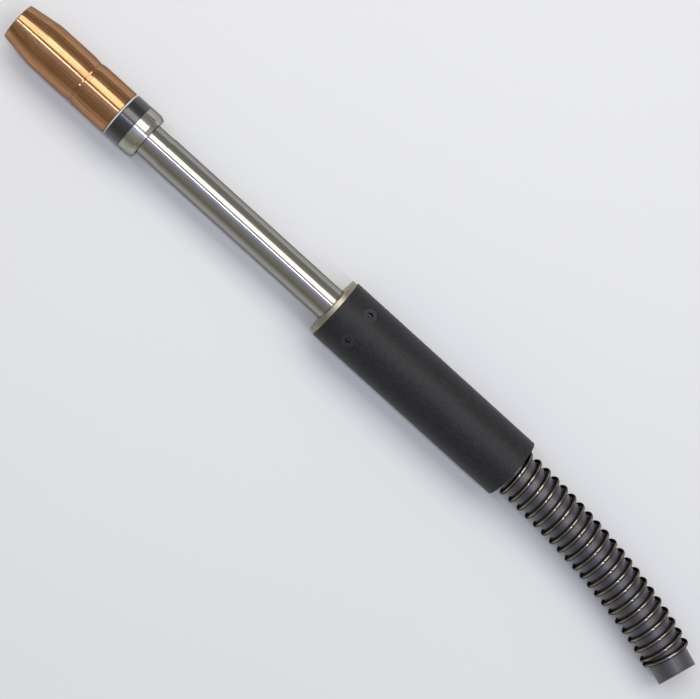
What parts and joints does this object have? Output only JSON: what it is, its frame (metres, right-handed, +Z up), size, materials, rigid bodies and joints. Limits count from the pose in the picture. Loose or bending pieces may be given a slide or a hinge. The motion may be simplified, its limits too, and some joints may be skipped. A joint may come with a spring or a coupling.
{
  "type": "machine mig welding torch",
  "caption": "Straight air-cooled MIG welding torch with a black cylindrical handle, steel barrel, copper gas nozzle and a spring-guarded power cable stub.",
  "frame": {"origin": "middle of the cylindrical handle, on the torch's axis", "axes": "+X along the axis towards the nozzle's mouth, +Z up from the surface the torch lies on, +Y to the side the cable bends to"},
  "size_m": [0.527, 0.0539, 0.038],
  "materials": {
    "nozzle_copper": "polished copper, turned",
    "sleeve_composite": "pale glass-fibre composite",
    "insulator_phenolic": "moulded, semi-gloss",
    "collar_steel": "turned and polished stainless steel",
    "barrel_steel": "polished stainless steel tube",
    "bushing_plated": "nickel-plated brass",
    "handle_black": "satin black phenolic tube",
    "screw_black": "black oxide",
    "spring_steel": "dark oxide spring wire",
    "jacket_rubber": "matt grey-black rubber",
    "tip_copper": "drawn copper",
    "diffuser_brass": "machined",
    "clip_steel": "spring wire",
    "conductor_copper": "drawn copper",
    "insulation_fibre": "glass-fibre tube",
    "liner_steel": "wound steel liner, shown as a plain tube",
    "block_brass": "machined",
    "set_screw_steel": "black oxide",
    "coupler_brass": "machined",
    "stud_brass": "machined",
    "washer_copper": "soft copper",
    "ferrule_copper": "pressed copper",
    "strand_copper": "stranded copper, shown as a plain tube",
    "conduit_plastic": "natural plastic tube",
    "cable_liner_steel": "wound steel liner, shown as a plain tube",
    "cable_bushing_plastic": "moulded"
  },
  "bodies": {
    "torch": {"handle": "handle_black", "front_bushing": "bushing_plated", "handle_screws": "screw_black", "barrel_tube": "barrel_steel", "barrel_collar": "collar_steel", "nozzle_insulator": "insulator_phenolic", "nozzle_clip": "clip_steel", "gas_diffuser": "diffuser_brass", "conductor_tube": "conductor_copper", "barrel_insulation": "insulation_fibre", "torch_liner": "liner_steel", "power_block": "block_brass", "block_set_screws": "set_screw_steel", "liner_coupler": "coupler_brass", "cable_stud": "stud_brass", "stud_washer": "washer_copper", "crimp_ferrule": "ferrule_copper", "cable_bushing": "cable_bushing_plastic", "cable_jacket": "jacket_rubber", "cable_strands": "strand_copper", "gas_conduit": "conduit_plastic", "cable_liner": "cable_liner_steel", "strain_relief_spring": "spring_steel"},
    "nozzle": {"nozzle": "nozzle_copper", "nozzle_sleeve": "sleeve_composite"},
    "contact_tip": {"contact_tip": "tip_copper"}
  },
  "joints": [
    {"name": "nozzle_pull", "type": "slide", "parent": "torch", "child": "nozzle", "axis": [1, 0, 0], "range_m": [0, 0.08]},
    {"name": "contact_tip_pull", "type": "slide", "parent": "torch", "child": "contact_tip", "axis": [1, 0, 0], "range_m": [0, 0.05]}
  ]
}
